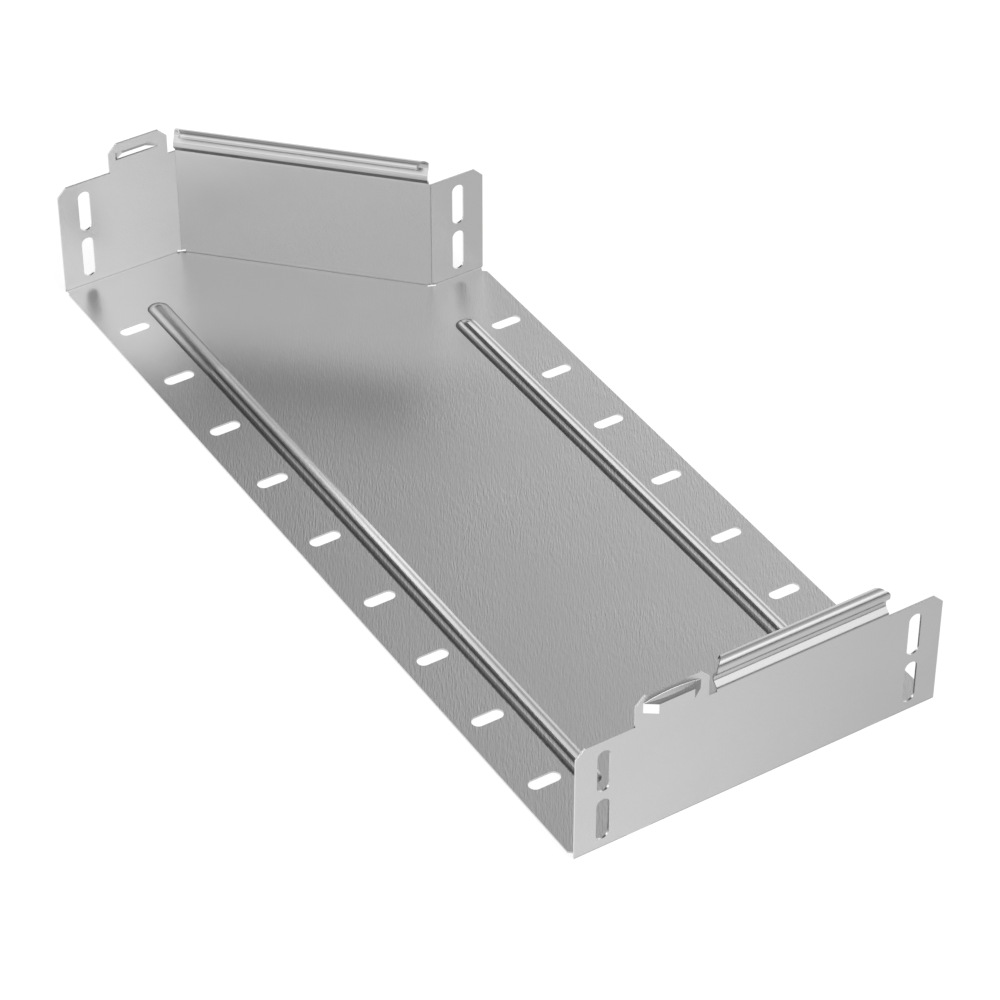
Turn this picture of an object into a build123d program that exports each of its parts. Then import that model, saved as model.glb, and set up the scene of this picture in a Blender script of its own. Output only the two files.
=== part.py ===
from build123d import *
import math
import os

# Sheet and the fold between floor and walls
sheet = 1.0
fold_inner = 0.4
fold_outer = fold_inner + sheet

# Plan of the reducer: one straight wall, and opposite it a wall stepped inward
wide_width = 507.0
narrow_width = 407.0
kink_start = 71.0
narrow_run = 32.0
step_angle = 45.0
kink_inner = 0.5
kink_outer = kink_inner + sheet
step_run = (wide_width - narrow_width) / math.tan(math.radians(step_angle))
run_length = kink_start + step_run + narrow_run
x_wide = -run_length / 2
x_narrow = run_length / 2
y_near = -wide_width / 2
y_far_wide = y_near + wide_width
y_far_narrow = y_near + narrow_width
x_kink_one = x_wide + kink_start
x_kink_two = x_kink_one + step_run
half_turn = math.tan(math.radians(step_angle / 2))

# Side walls: full height in the middle, lower at both ends
top_height = 84.0
end_drop = 17.0
end_height = top_height - end_drop
end_chamfer = 5.0

# Slotted tabs standing on the wide end of each wall
tab_start = 31.3
tab_far_gap = 4.8
tab_near_end = kink_start
tab_far_end = kink_start - tab_far_gap
tab_chamfer = 5.0

# Pressed hood over the slot of each tab, open at its lower side
hood_margin_start = 3.7
hood_margin_end = 4.6
hood_drop = 10.0
hood_base = top_height - hood_drop
hood_height = 5.6
hood_reach = 4.2
hood_end_run = 6.1
hood_crown = 1.8

# Rolled rim with the set-back groove below it
rim_tab_gap = 4.5
rim_overrun = 0.5
step_rim_setback = 0.6
groove_foot_drop = 15.5
groove_low_drop = 12.3
groove_high_drop = 9.6
groove_top_drop = 6.1
groove_depth = 3.0
groove_radius = 1.9
roll_diameter = 6.8
roll_drop = 0.7
roll_setback = 0.25
roll_radius = roll_diameter / 2
roll_centre_z = top_height - roll_drop - roll_radius
roll_centre_in = roll_setback + roll_radius
roll_lip_angle = 10.0
roll_cut_rise = 0.9
roll_cut_crown = 3.6
roll_cut_lip = 4.6

# Upright slots in the end sections of the walls
wall_slot_width = 7.0
wall_slot_margin = 6.0
wall_slot_gap = 5.0
wall_slot_length = (end_height - 2 * wall_slot_margin - wall_slot_gap) / 2
wall_slot_wide_inset = 15.0
wall_slot_narrow_inset = 15.5

# Slots in the floor, long way along the run
floor_slot_width = 7.0
floor_slot_length = 17.0
floor_slot_wide_inset = 16.0
floor_slot_narrow_inset = 15.6
floor_slot_pitch = 50.0

# Stiffening beads pressed up out of the floor
bead_inset = 35.0
bead_width = 12.0
bead_rise = 2.2
bead_end_gap = 35.5
bead_crest_share = 0.55

# Relief nicks beside the folds at the floor corners, and slits at the foot of each kink
relief_width = 4.4
relief_depth = 2.2
relief_root = 1.2
relief_apex_share = 0.57
relief_small_share = 0.6
relief_fold_share = 0.3
slit_length = 4.6
slit_height = 0.9

overlap = 0.2
reach = 4 * sheet


def plan_offset(inset):
    """Corner points of the plan, moved in from the outside of the walls."""
    shift = inset * half_turn
    return [
        (x_wide, y_near + inset),
        (x_narrow, y_near + inset),
        (x_narrow, y_far_narrow - inset),
        (x_kink_two - shift, y_far_narrow - inset),
        (x_kink_one - shift, y_far_wide - inset),
        (x_wide, y_far_wide - inset),
    ]


def prism(points, base, height):
    """Upright prism over a closed outline."""
    face = Plane.XY.offset(base) * make_face(Polyline(*points, close=True))
    return extrude(face, amount=height)


def wall_face(outline, outer_y):
    """Face on the outside of a wall that runs along X, from an outline in X and Z."""
    return Plane(origin=(0, outer_y, 0), x_dir=(1, 0, 0), z_dir=(0, -1, 0)) * make_face(outline)


def fold_section(start, inward):
    """Quarter-round section of the fold, standing across the run at its start."""
    ring = Pos(fold_outer, fold_outer) * (Circle(fold_outer) - Circle(fold_inner))
    half = fold_outer / 2
    quarter = ring & (Pos(half, half) * Rectangle(fold_outer, fold_outer))
    plane = Plane(origin=(*start, 0), x_dir=inward, z_dir=Vector(*inward).cross(Vector(0, 0, 1)))
    return plane * quarter


def folds():
    """Folds along the straight wall and along the stepped wall."""
    outer = plan_offset(0)
    near = sweep(
        fold_section(outer[0], (0, 1, 0)),
        path=Line((*outer[0], 0), (*outer[1], 0)),
    )
    far_points = [(*outer[i], 0) for i in (5, 4, 3, 2)]
    far = sweep(
        fold_section(outer[5], (0, -1, 0)),
        path=Polyline(*far_points),
        transition=Transition.RIGHT,
    )
    return near + far


def stepped_wall():
    """The stepped wall up to the height of its ends: one sheet bent at both kinks."""
    outer = plan_offset(0)
    inner = plan_offset(sheet)
    points = [outer[5], outer[4], outer[3], outer[2], inner[2], inner[3], inner[4], inner[5]]
    face = make_face(Polyline(*points, close=True))
    corners = (
        (outer[4], kink_outer),
        (inner[4], kink_inner),
        (outer[3], kink_inner),
        (inner[3], kink_outer),
    )
    for point, radius in corners:
        vertex = face.vertices().sort_by_distance(Vector(*point, 0))[0]
        face = fillet(vertex, radius)
    return extrude(Plane.XY.offset(fold_outer) * face, amount=end_height - fold_outer)


def straight_wall():
    """The straight wall up to the height of its ends."""
    points = [
        (x_wide, y_near),
        (x_narrow, y_near),
        (x_narrow, y_near + sheet),
        (x_wide, y_near + sheet),
    ]
    return prism(points, fold_outer, end_height - fold_outer)


def tab(tab_end, outer_y, inward):
    """Raised tab with its hood; inward is +1 or -1 along Y."""
    x_from = x_wide + tab_start
    x_to = x_wide + tab_end
    shoulder = top_height - tab_chamfer
    outline = Polyline(
        (x_from, end_height - overlap),
        (x_from, shoulder),
        (x_from + tab_chamfer, top_height),
        (x_to - tab_chamfer, top_height),
        (x_to, shoulder),
        (x_to, end_height - overlap),
        close=True,
    )
    plate = extrude(wall_face(outline, outer_y), amount=-sheet * inward)

    hood_from = x_from + hood_margin_start
    hood_to = x_to - hood_margin_end
    slope = hood_end_run / hood_reach
    skin = sheet * math.hypot(1, slope)

    def hood_plan(skin_shift, depth_from, depth_to):
        """Hood plan between two distances out from the wall's outside."""
        shift_from = depth_from * slope + skin_shift
        shift_to = depth_to * slope + skin_shift
        y_from = outer_y - inward * depth_from
        y_to = outer_y - inward * depth_to
        return [
            (hood_from + shift_from, y_from),
            (hood_from + shift_to, y_to),
            (hood_to - shift_to, y_to),
            (hood_to - shift_from, y_from),
        ]

    shell = prism(hood_plan(0, 0, hood_reach), hood_base, hood_height)
    hollow = prism(hood_plan(skin, -sheet, hood_reach - sheet), hood_base, hood_height - sheet)

    hood_top = hood_base + hood_height
    left = (hood_from, hood_top)
    right = (hood_to, hood_top)
    summit = ((hood_from + hood_to) / 2, hood_top + hood_crown)
    lens = wall_face(ThreePointArc(left, summit, right) + Line(right, left), outer_y)
    brow = extrude(lens, amount=hood_crown * math.sqrt(2), dir=Vector(0, -inward, -1).normalized())
    brow &= prism(hood_plan(0, 0, hood_reach), hood_base, hood_height + hood_crown)
    return plate + shell + brow - hollow


def rim_section():
    """Section of the rim: X is inward from the wall's outside, Y is up."""
    half = sheet / 2
    centre = (roll_centre_in, roll_centre_z)
    rise = FilletPolyline(
        (half, end_height - overlap),
        (half, top_height - groove_foot_drop),
        (groove_depth + half, top_height - groove_low_drop),
        (groove_depth + half, top_height - groove_high_drop),
        (roll_setback + half, top_height - groove_top_drop),
        (roll_setback + half, roll_centre_z),
        radius=groove_radius,
    )
    crown = CenterArc(centre, roll_radius - half, roll_lip_angle, 180 - roll_lip_angle)
    path = Wire(rise.edges() + crown.edges())
    return make_face(offset(path, amount=half, side=Side.BOTH).edges())


def roll_end_cutter(end, outward, inward):
    """Block that cuts the end of the roll on a slant, from its outer face to its lip."""
    centre = end + inward * roll_centre_in + Vector(0, 0, roll_centre_z)
    foot = centre - inward * roll_radius + Vector(0, 0, roll_cut_rise)
    crown = centre - outward * roll_cut_crown + Vector(0, 0, roll_radius)
    lip = centre - outward * roll_cut_lip + inward * roll_radius
    normal = (crown - foot).cross(lip - foot)
    if normal.dot(outward) < 0:
        normal = normal * -1
    size = 4 * roll_diameter
    block = Plane(origin=foot, z_dir=normal) * Pos(0, 0, size / 2) * Box(2 * size, 2 * size, size)
    base = roll_centre_z - sheet / 2
    upper = Pos(foot.X, foot.Y, base + size / 2) * Box(4 * size, 4 * size, size)
    return block & upper


def rim(start, direction, length):
    """Rolled rim along one straight run, with the roll cut back at both ends."""
    along = Vector(*direction, 0)
    origin = Vector(*start, 0)
    inward = Vector(0, 0, 1).cross(along)
    if inward.dot(origin) > 0:
        inward = inward * -1
    plane = Plane(origin=origin, x_dir=inward, z_dir=inward.cross(Vector(0, 0, 1)))
    way = 1 if plane.z_dir.dot(along) > 0 else -1
    body = extrude(plane * rim_section(), amount=length * way)
    body -= roll_end_cutter(origin, along * -1, inward)
    body -= roll_end_cutter(origin + along * length, along, inward)
    return body


def bead(x_centre, y_from, y_to):
    """Raised bead with round ends, hollow below, at sheet thickness throughout."""
    half_width = bead_width / 2
    lean = 2 * math.atan(bead_rise / half_width)
    radii = half_width / math.sin(lean)
    crest = radii * bead_crest_share
    foot = radii - crest
    middle = half_width - foot * math.sin(lean)
    drop = foot * (1 - math.cos(lean))
    top = [(0, sheet + bead_rise), (middle, sheet + drop), (half_width, sheet)]
    crest_under = crest - sheet
    foot_under = foot + sheet
    middle_under = half_width - foot_under * math.sin(lean)
    drop_under = foot_under * (1 - math.cos(lean))
    under = [(0, bead_rise), (middle_under, drop_under), (half_width, 0)]
    edges = [
        RadiusArc(top[0], top[1], -crest),
        RadiusArc(top[1], top[2], foot),
        Line(top[2], under[2]),
        RadiusArc(under[2], under[1], -foot_under),
        RadiusArc(under[1], under[0], crest_under),
        Line(under[0], top[0]),
    ]
    face = make_face(Wire([e.edge() for e in edges]))
    start = Vector(x_centre, y_from + half_width, 0)
    plane = Plane(origin=start, x_dir=(1, 0, 0), z_dir=(0, -1, 0))
    straight = y_to - y_from - bead_width
    section = plane * face
    axis = Axis((start.X, start.Y, 0), (0, 0, 1))
    shell = revolve(section, axis, 360)
    far_shell = Pos(0, straight, 0) * shell
    across = section + mirror(section, about=Plane.YZ.offset(x_centre))
    run = extrude(across, amount=-straight)
    keep = Pos(start.X, start.Y + straight / 2, 0) * Box(bead_width, straight, 4 * bead_width)
    return (shell - keep) + (far_shell - keep) + run


def relief_nick(corner, share):
    """Nick in the end edge of the floor and its fold; share scales it down."""
    x_in = 1 if corner[0] < 0 else -1
    y_in = 1 if corner[1] == y_near else -1
    width = relief_width * share
    points = [
        (-overlap, relief_fold_share * fold_outer),
        (relief_root * share, relief_fold_share * fold_outer),
        (relief_root * share, fold_outer),
        (relief_depth * share, fold_outer + width * relief_apex_share),
        (0, fold_outer + width),
        (-overlap, fold_outer + width),
    ]
    placed = [(corner[0] + x * x_in, corner[1] + y * y_in) for x, y in points]
    return prism(placed, -overlap, fold_outer + overlap)


def slot_row(y_far):
    """Places across the floor of one row of slots: by the pitch from each wall, and midway."""
    width = y_far - y_near
    places = [(y_near + y_far) / 2]
    for step in range(1, round(width / 2 / floor_slot_pitch)):
        places.append(y_near + step * floor_slot_pitch)
        places.append(y_far - step * floor_slot_pitch)
    return places


def floor_sheet():
    """Flat floor between the folds, with beads and slots."""
    body = prism(plan_offset(fold_outer), 0, sheet)
    for x, y_far in ((x_wide + bead_inset, y_far_wide), (x_narrow - bead_inset, y_far_narrow)):
        y_from = y_near + bead_end_gap
        y_to = y_far - bead_end_gap
        place = Pos(x, (y_from + y_to) / 2, 0) * Rot(0, 0, 90)
        body -= place * extrude(SlotOverall(y_to - y_from, bead_width), amount=reach, both=True)
        body += bead(x, y_from, y_to)
    cutter = extrude(SlotOverall(floor_slot_length, floor_slot_width), amount=reach, both=True)
    rows = (
        (x_wide + floor_slot_wide_inset, y_far_wide),
        (x_narrow - floor_slot_narrow_inset, y_far_narrow),
    )
    for x, y_far in rows:
        for y in slot_row(y_far):
            body -= Pos(x, y, 0) * cutter
    return body


def wall_slot_cutters():
    """Slots through both walls at each end, as bars right across the reducer."""
    flat = Plane.XZ * (Rot(0, 0, 90) * SlotOverall(wall_slot_length, wall_slot_width))
    bar = extrude(flat, amount=wide_width, both=True)
    low = wall_slot_margin + wall_slot_length / 2
    high = end_height - low
    columns = (x_wide + wall_slot_wide_inset, x_narrow - wall_slot_narrow_inset)
    return [Pos(x, 0, z) * bar for x in columns for z in (low, high)]


def end_corner_cutters():
    """Bars that chamfer the top corner of each wall at both ends."""
    side = end_chamfer * math.sqrt(2)
    bar = Rot(0, 45, 0) * Box(side, 2 * wide_width, side)
    return [Pos(x, 0, end_height) * bar for x in (x_wide, x_narrow)]


def kink_slit(corner, turn):
    """Short slit through the fold at the foot of a kink."""
    middle = fold_outer - (fold_outer - sheet / 2) / math.sqrt(2)
    slot = Pos(0, -middle, middle) * Rot(-45, 0, 0) * Box(slit_length, reach, slit_height)
    return Pos(*corner, 0) * Rot(0, 0, turn) * slot


def build_body():
    """The folded body: floor, folds, walls, rims, tabs, slots and beads."""
    body = floor_sheet() + folds() + straight_wall() + stepped_wall()
    for cutter in wall_slot_cutters() + end_corner_cutters():
        body -= cutter
    outer = plan_offset(0)
    for index, share in ((0, 1), (1, relief_small_share), (2, 1), (5, relief_small_share)):
        body -= relief_nick(outer[index], share)
    for index in (4, 3):
        body -= kink_slit(outer[index], -step_angle / 2)
    body += tab(tab_near_end, y_near, 1)
    body += tab(tab_far_end, y_far_wide, -1)
    near_start = x_wide + tab_near_end + rim_tab_gap
    body += rim((near_start, y_near), (1, 0), x_kink_two + rim_overrun - near_start)
    step_way = Vector(outer[3][0] - outer[4][0], outer[3][1] - outer[4][1], 0)
    step_unit = step_way.normalized()
    first = Vector(*outer[4], 0) + step_unit * step_rim_setback
    span = step_way.length - 2 * step_rim_setback
    body += rim((first.X, first.Y), (step_unit.X, step_unit.Y), span)
    return body


os.makedirs("parts", exist_ok=True)
reducer = build_body()
export_step(reducer, "parts/reducer_body.step")
print(reducer.volume, len(reducer.solids()), reducer.is_valid, reducer.bounding_box())
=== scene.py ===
import math

import bpy
from mathutils import Euler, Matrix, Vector

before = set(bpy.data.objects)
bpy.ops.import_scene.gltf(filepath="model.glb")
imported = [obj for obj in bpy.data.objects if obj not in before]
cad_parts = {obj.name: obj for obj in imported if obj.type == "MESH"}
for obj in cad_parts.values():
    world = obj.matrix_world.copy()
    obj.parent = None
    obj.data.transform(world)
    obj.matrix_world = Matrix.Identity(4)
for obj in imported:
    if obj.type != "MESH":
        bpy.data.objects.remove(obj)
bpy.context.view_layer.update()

# Camera, from the fit to the photograph
camera_place = Vector((-0.7621, -1.2457, 1.2087))
camera_angles = (50.1107, -0.0433, -31.9994)
camera_lens = 134.27
camera_sensor = 36.0
camera_nearest = 0.01
camera_farthest = 200.0

# Ground, white where the camera and the metal see it
ground_half = 60.0
ground_drop = 0.0002
ground_glow = 0.82
ground_shade = 0.3
ground_plain = 0.8

# Broad soft areas of studio light: bearing from +X, height above level, strength
soft_areas = (
    (45, 14, 1.38),
    (-15, 15, 0.11),
    (-145, 14, 0.86),
    (-60, 42, 1.98),
    (35, 42, 0.12),
    (-149, 42, 0.98),
    (-45, 68, 0.72),
    (45, 68, 0.54),
    (115, 68, 0.07),
    (-149, 68, 0.05),
    (-102, 41, 0.6),
    (141, 3, 2.2),
    (118, 36, 0.03),
)
sky_floor = 0.01
area_inner = 6
area_outer = 34

# Places on the body that its finish and its painted shade and highlights follow
sheet = 0.001
wall_outside = -0.2535
wall_clear = wall_outside + 2 * sheet
fold_top = 0.0014
bead_place = 0.0665
bead_half = 0.0062
bead_far_end = 0.145
bead_top = 0.0033
rim_foot = 0.0668
rim_foot_blur = 0.0007
rim_start = -0.03
rim_start_blur = 0.002
edge_blur = 0.1
end_blur = 0.05

# Grain and clouds of the sheet: each pair is a range, from low to high
noise_detail = 3.0
grain_turn = -58.0
grain_stretch = 0.16
grain_scale = 1250.0
grain_fineness = 0.6
grain_range = (0.35, 0.65)
grain_height = 0.00011
cloud_scale = 14.0
cloud_fineness = 0.55
cloud_range = (0.3, 0.7)
patch_range = (0.35, 0.65)
patch_relief = (0.7, 1.3)
base_tone = (0.595, 0.615)
base_roughness = (0.279, 0.285)
grain_roughness = (-0.003, 0.003)

# Where the grain is smoother: on the floor toward the far walls, and on the rims
far_floor = (0.13, 0.2)
far_floor_smooth = 0.6
rim_smooth = 0.75

# Outside of the straight wall: how much painted shade darkens it at the wide end and at the narrow end
outside_facing = (-0.98, -0.8)
whole_run = (-0.11, 0.11)
outside_painted_shade = (0.04, 0.28)

# Painted shade in the folds
fold_painted_shade = 0.35

# Painted reflection bands on the beads, by their distance from the middle of the bead
crest_edge = (0.0005, 0.0012)
flank_foot = bead_half * 0.85
painted_bright_line = -0.0025
painted_bright_line_blur = (0.0004, 0.0012)
painted_band_contrast = (-0.35, 0.5)
painted_dark_line = 0.0038
painted_dark_line_blur = (0.0003, 0.001)

# Narrow end's side of the beads: the painted dark line of reflection on each bead, and how much a
# painted highlight brightens the wide end's bead away from the straight wall
bead_to_bead = (-0.01, 0.01)
painted_dark_line_depth = (0.2, 0.42)
painted_highlight_along = (-0.15, 0.03)
painted_highlight_flank = (-0.2, 0.3)

# Rolled rims: how much painted shade darkens them, on the straight one and on the slanted one
rim_to_rim = (-0.1, 0.0)
slope_facing = (0.1, 0.3)
slope_inner = (0.0, 0.3)
slope_inner_share = 0.2
slope_painted_shade = (0.28, 0.1)
under_facing = (-0.5, -0.1)
under_painted_shade = (0.0, 0.5)

# Sheared ends of the sheet, brightened by a painted highlight
sheared_facing = (0.97, 0.99)
sheared_painted_highlight = 0.15

# Pressed hood on the straight wall's tab: painted shade on its top and inner end, a painted highlight
# on its leading end
hood_range = (wall_outside - 0.0002, wall_outside - 0.0001)
hood_top_facing = (0.2, 0.4)
hood_end_facing = (0.3, 0.5)
hood_lead_facing = (-0.5, -0.3)
hood_painted_shade = 0.6
hood_painted_highlight = 0.4


class Value:
    """A number or a vector carried by a shader socket, for use in Python expressions."""

    def __init__(self, tree, socket):
        self.tree = tree
        self.socket = socket

    def maths(self, operation, *others):
        return self.tree.add("ShaderNodeMath", {"operation": operation}, self, *others)

    def __add__(self, other):
        return self.maths("ADD", other)

    def __sub__(self, other):
        return self.maths("SUBTRACT", other)

    def __mul__(self, other):
        return self.maths("MULTIPLY", other)

    def __radd__(self, other):
        return self + other

    def __rmul__(self, other):
        return self * other

    def __rsub__(self, other):
        return self.tree.add("ShaderNodeMath", {"operation": "SUBTRACT"}, other, self)

    def ramp(self, low, high, from_value=0.0, to_value=1.0):
        """Smooth step from one value to another between two inputs."""
        settings = {"interpolation_type": "SMOOTHSTEP"}
        return self.tree.add("ShaderNodeMapRange", settings, self, low, high, from_value, to_value)

    def fall(self, low, high):
        """Smooth step from one down to nothing between two inputs."""
        return self.ramp(low, high, 1.0, 0.0)

    def line(self, centre, blur):
        """One at a centre, gone between the two distances of the blur from it."""
        return (self - centre).maths("ABSOLUTE").fall(*blur)

    def dot(self, direction):
        settings = {"operation": "DOT_PRODUCT"}
        return self.tree.add("ShaderNodeVectorMath", settings, self, direction, out="Value")

    def axes(self):
        """The three numbers of a vector."""
        return [self.dot(axis) for axis in ((1, 0, 0), (0, 1, 0), (0, 0, 1))]


class Tree:
    """A node tree, with one method that adds any node to it."""

    def __init__(self, holder):
        holder.use_nodes = True
        self.nodes = holder.node_tree.nodes
        self.links = holder.node_tree.links
        self.nodes.clear()

    def add(self, kind, settings=None, *inputs, out=0, **named):
        """Adds a node: its settings first, then its inputs by order or by name."""
        node = self.nodes.new(kind)
        for name, value in (settings or {}).items():
            setattr(node, name, value)
        pairs = [(node.inputs[i], value) for i, value in enumerate(inputs)]
        pairs += [(node.inputs[name.replace("_", " ")], value) for name, value in named.items()]
        for socket, value in pairs:
            if isinstance(value, Value):
                self.links.new(value.socket, socket)
            elif value is not None:
                socket.default_value = value
        return Value(self, node.outputs[out]) if node.outputs else node

    def rays(self, *names):
        """One for the kinds of ray that are named, and nothing for the others."""
        kinds = [self.add("ShaderNodeLightPath", None, out=name) for name in names]
        chosen = kinds[0]
        for kind in kinds[1:]:
            chosen = chosen.maths("MAXIMUM", kind)
        return chosen


def grey(level):
    return (level, level, level, 1.0)


def edge(place, blur=edge_blur):
    """From a place to a little beyond it, for the soft edge of a mask."""
    return place, place * (1.0 + blur)


class Spot:
    """Where a point of the sheet is, which way it faces, and whether it is on a bead or a rim."""

    def __init__(self, tree):
        self.place = tree.add("ShaderNodeTexCoord", None, out="Object")
        facing = tree.add("ShaderNodeTexCoord", None, out="Normal")
        self.x, self.y, self.z = self.place.axes()
        self.facing_x, self.facing_y, self.facing_z = facing.axes()

        self.above_floor = self.z.ramp(*edge(sheet))
        self.across_bead = self.x - self.x.maths("SIGN") * bead_place
        self.on_bead = self.across_bead.maths("ABSOLUTE").fall(*edge(bead_half))
        self.on_bead = self.on_bead * self.y.fall(*edge(bead_far_end, end_blur))
        self.on_rim = self.z.ramp(rim_foot, rim_foot + rim_foot_blur)
        self.on_rim = self.on_rim * self.x.ramp(rim_start, rim_start + rim_start_blur)


def straight_wall_shade_tone(spot):
    """The outside of the straight wall is darkened by painted shade, the more so toward the narrow end.
    """
    outside = spot.facing_y.fall(*outside_facing)
    return 1.0 - outside * spot.x.ramp(*whole_run, *outside_painted_shade)


def fold_shade_tone(spot):
    """Painted shade in the folds, kept off the beads."""
    low = spot.above_floor * spot.z.fall(*edge(fold_top))
    return 1.0 - low * (1.0 - spot.on_bead) * fold_painted_shade


def raised_bead(spot):
    """The beads where they stand up from the floor, short of the straight wall."""
    raised = spot.above_floor * spot.z.fall(*edge(bead_top))
    return raised * spot.on_bead * spot.y.ramp(wall_clear, wall_clear + sheet)


def wide_flank_reflection_bands(spot, raised):
    """Painted reflection bands on the flank of each bead that faces the wide end: painted shade either
    side of a painted bright line.
    """
    across = spot.across_bead
    crest_start, crest_end = crest_edge
    flank = across.ramp(-bead_half, -flank_foot) * across.fall(-crest_end, -crest_start)
    bright_line = across.line(painted_bright_line, painted_bright_line_blur)
    return 1.0 + flank * raised * bright_line.ramp(0.0, 1.0, *painted_band_contrast)


def narrow_flank_reflection_bands(spot, raised):
    """The other flank has a painted dark line of reflection, and on the wide end's bead a painted
    highlight grows brighter along the bead.
    """
    across = spot.across_bead
    flank = across.ramp(*crest_edge) * across.fall(flank_foot, bead_half)
    bright = spot.x.fall(*bead_to_bead) * spot.y.ramp(*painted_highlight_along, *painted_highlight_flank)
    painted_dark = across.line(painted_dark_line, painted_dark_line_blur) * spot.x.ramp(*bead_to_bead, *painted_dark_line_depth)
    return 1.0 + flank * raised * (bright - painted_dark)


def rim_shade_tone(spot):
    """Painted shade on the rolled rims: the straight one on its slopes, the slanted one underneath."""
    slope = spot.facing_z.ramp(*slope_facing) * spot.facing_y.ramp(*slope_inner, 1.0, slope_inner_share)
    slope = slope * spot.y.ramp(*rim_to_rim, *slope_painted_shade)
    under = spot.facing_z.fall(*under_facing) * spot.y.ramp(*rim_to_rim, *under_painted_shade)
    return 1.0 - spot.on_rim * (slope + under)


def sheared_highlight_tone(spot):
    """Sheared ends of the sheet are a little brighter, a painted highlight."""
    return 1.0 + spot.facing_x.maths("ABSOLUTE").ramp(*sheared_facing) * sheared_painted_highlight


def hood_painted_light(spot, tone):
    """The pressed hood has painted shade on its top and inner end, and a painted highlight on its
    leading end.
    """
    hood = spot.y.fall(*hood_range)
    top = spot.facing_z.ramp(*hood_top_facing) * hood_painted_shade
    end = spot.facing_x.ramp(*hood_end_facing) * hood_painted_shade
    lead = spot.facing_x.fall(*hood_lead_facing)
    return tone * (1.0 - hood * (top + end)) + hood * lead * hood_painted_highlight


def drawn_grain(tree, spot):
    """Fine noise drawn out along one direction of the sheet."""
    turn = (0.0, 0.0, math.radians(grain_turn))
    turned = tree.add("ShaderNodeMapping", {"vector_type": "POINT"}, spot.place, Rotation=turn)
    drawn = (grain_stretch, 1.0, 1.0)
    stretched = tree.add("ShaderNodeMapping", {"vector_type": "POINT"}, turned, Scale=drawn)
    return tree.add(
        "ShaderNodeTexNoise", None, stretched,
        Scale=grain_scale, Detail=noise_detail, Roughness=grain_fineness,
    )


def galvanised_steel():
    """Bright galvanised sheet: a soft mirror with a fine drawn grain."""
    material = bpy.data.materials.new("galvanised_steel")
    tree = Tree(material)
    spot = Spot(tree)
    grain = drawn_grain(tree, spot)
    cloud = tree.add(
        "ShaderNodeTexNoise", None, spot.place,
        Scale=cloud_scale, Detail=noise_detail, Roughness=cloud_fineness,
    )

    raised = raised_bead(spot)
    tone = cloud.ramp(*cloud_range, *base_tone)
    # Painted shade outside the straight wall and in the folds
    tone = tone * straight_wall_shade_tone(spot) * fold_shade_tone(spot)
    # Painted reflection bands, shade and highlight on the beads
    tone = tone * wide_flank_reflection_bands(spot, raised) * narrow_flank_reflection_bands(spot, raised)
    # Painted shade on the rims and a painted highlight on sheared ends
    tone = tone * rim_shade_tone(spot) * sheared_highlight_tone(spot)
    # Painted shade and highlight on the pressed hood
    tone = hood_painted_light(spot, tone)
    colour = tree.add("ShaderNodeCombineColor", None, tone, tone, tone)

    rough = cloud.ramp(*cloud_range, *base_roughness) + grain.ramp(*grain_range, *grain_roughness)
    smooth = spot.z.fall(*edge(bead_top)) * far_floor_smooth * spot.y.ramp(*far_floor)
    smooth = smooth + spot.on_rim * rim_smooth
    relief = grain * cloud.ramp(*patch_range, *patch_relief) * (1.0 - smooth)
    bump = tree.add("ShaderNodeBump", None, Strength=1.0, Distance=grain_height, Height=relief)
    shader = tree.add(
        "ShaderNodeBsdfPrincipled", None, Base_Color=colour, Metallic=1.0, Roughness=rough, Normal=bump,
    )
    tree.add("ShaderNodeOutputMaterial", None, Surface=shader)
    return material


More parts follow.
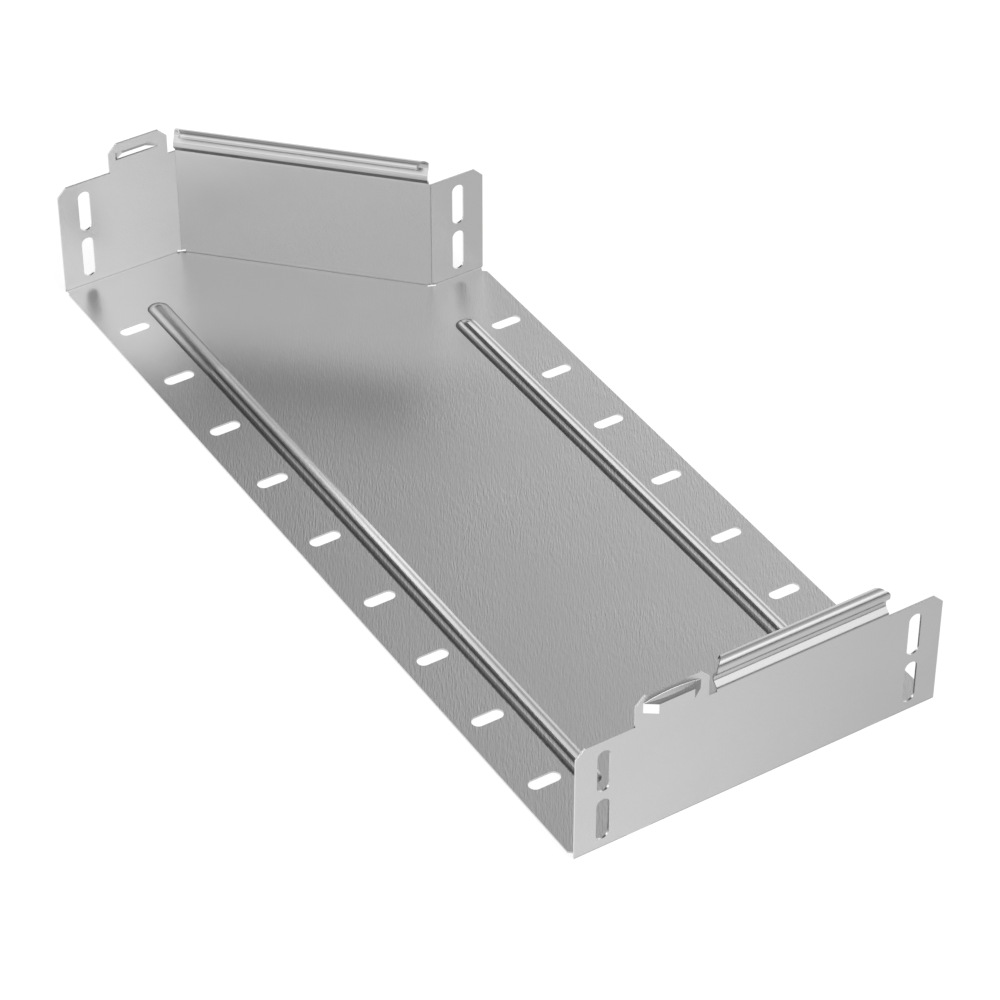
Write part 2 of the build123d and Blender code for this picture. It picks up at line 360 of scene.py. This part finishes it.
def pale_ground():
    """Pale ground, white to the camera and in the metal, that keeps the soft shadow."""
    material = bpy.data.materials.new("pale_ground")
    tree = Tree(material)
    seen = tree.rays("Is Camera Ray", "Is Glossy Ray", "Is Transmission Ray")
    shade = tree.add("ShaderNodeBsdfDiffuse", None, Color=grey(ground_shade))
    glow = tree.add("ShaderNodeEmission", None, Color=grey(1.0), Strength=ground_glow)
    shown = tree.add("ShaderNodeAddShader", None, shade, glow)
    plain = tree.add("ShaderNodeBsdfDiffuse", None, Color=grey(ground_plain))
    mixed = tree.add("ShaderNodeMixShader", None, seen, plain, shown)
    tree.add("ShaderNodeOutputMaterial", None, Surface=mixed)
    return material


def sky_direction(bearing, height):
    """Unit vector toward a bearing from +X and a height above level, both in degrees."""
    turn, lift = math.radians(bearing), math.radians(height)
    flat = math.cos(lift)
    return Vector((flat * math.cos(turn), flat * math.sin(turn), math.sin(lift)))


def studio_light():
    """Soft studio light from broad bright areas of the sky, which is white where it is looked at."""
    world = bpy.data.worlds.new("studio")
    bpy.context.scene.world = world
    tree = Tree(world)
    way = tree.add("ShaderNodeTexCoord", None, out="Generated")
    area_edge = [math.cos(math.radians(angle)) for angle in (area_outer, area_inner)]
    level = sky_floor
    for bearing, height, strength in soft_areas:
        level = level + way.dot(sky_direction(bearing, height)).ramp(*area_edge) * strength
    seen = tree.rays("Is Camera Ray", "Is Transmission Ray")
    sky = tree.add("ShaderNodeBackground", None, grey(1.0), level * (1.0 - seen) + seen)
    tree.add("ShaderNodeOutputWorld", None, Surface=sky)


def dress_frame():
    """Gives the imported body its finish."""
    steel = galvanised_steel()
    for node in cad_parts.values():
        for slot in node.material_slots:
            slot.material = steel


def add_ground():
    bpy.ops.object.select_all(action="DESELECT")
    bpy.ops.mesh.primitive_plane_add(size=2 * ground_half, location=(0, 0, -ground_drop))
    ground = bpy.context.object
    ground.name = "ground"
    ground.data.materials.append(pale_ground())


def add_camera():
    data = bpy.data.cameras.new("camera")
    camera = bpy.data.objects.new("camera", data)
    bpy.context.scene.collection.objects.link(camera)
    camera.location = camera_place
    camera.rotation_euler = Euler([math.radians(a) for a in camera_angles], "XYZ")
    data.lens = camera_lens
    data.sensor_width = camera_sensor
    data.clip_start = camera_nearest
    data.clip_end = camera_farthest
    bpy.context.scene.camera = camera


dress_frame()
add_ground()
studio_light()
add_camera()
bpy.context.scene.view_settings.view_transform = "Standard"
